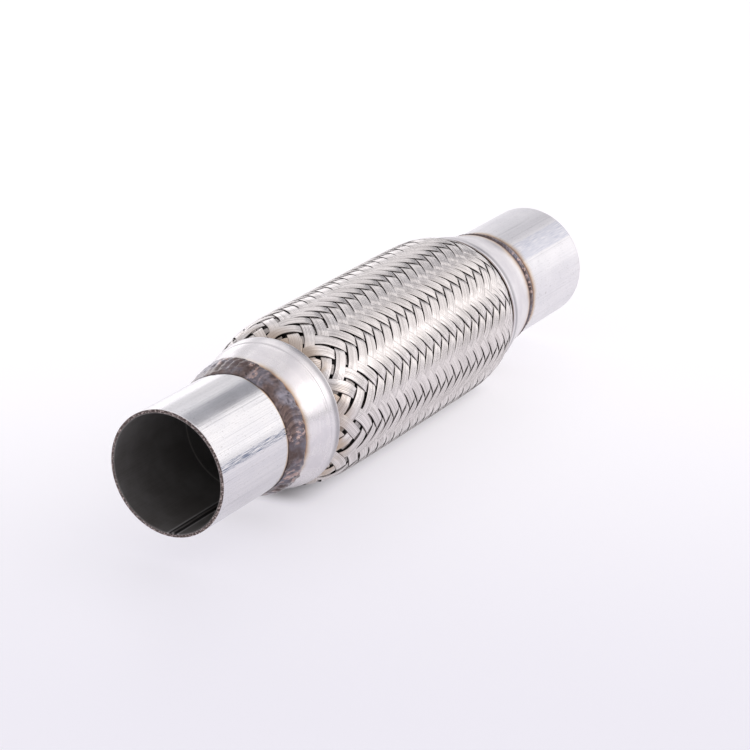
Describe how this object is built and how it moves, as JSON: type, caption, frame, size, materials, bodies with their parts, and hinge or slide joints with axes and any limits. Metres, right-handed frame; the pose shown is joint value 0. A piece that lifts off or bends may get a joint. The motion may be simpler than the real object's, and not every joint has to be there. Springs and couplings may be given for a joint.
{
  "type": "exhaust flex pipe",
  "caption": "Straight exhaust flex pipe: a woven steel wire braid over a corrugated bellows and a strip-wound liner, held by spun end caps welded to plain steel pipe ends.",
  "frame": {"origin": "centre of the outlet pipe's cut face, on which the pipe stands", "axes": "+Z along the pipe's axis, from the outlet face up to the inlet face; -Y is the side that faces up when the pipe lies as in the picture"},
  "size_m": [0.0708, 0.0708, 0.2946],
  "materials": {
    "end_pipe": "bright drawn steel tube with fine lengthwise lines",
    "end_cap": "spun satin steel",
    "weld": "dark brown oxidised weld metal with coppery glints",
    "braid": "bright woven steel wire",
    "bellows": "thin corrugated steel, in shadow",
    "liner": "dull wound steel strip"
  },
  "bodies": {
    "root": {"inlet_pipe": "end_pipe", "outlet_pipe": "end_pipe", "inlet_end_cap": "end_cap", "outlet_end_cap": "end_cap", "inlet_weld_bead": "weld", "outlet_weld_bead": "weld", "outer_braid": "braid", "bellows": "bellows", "interlock_liner": "liner", "inlet_liner_sleeve": "liner", "outlet_liner_sleeve": "liner"}
  },
  "joints": []
}
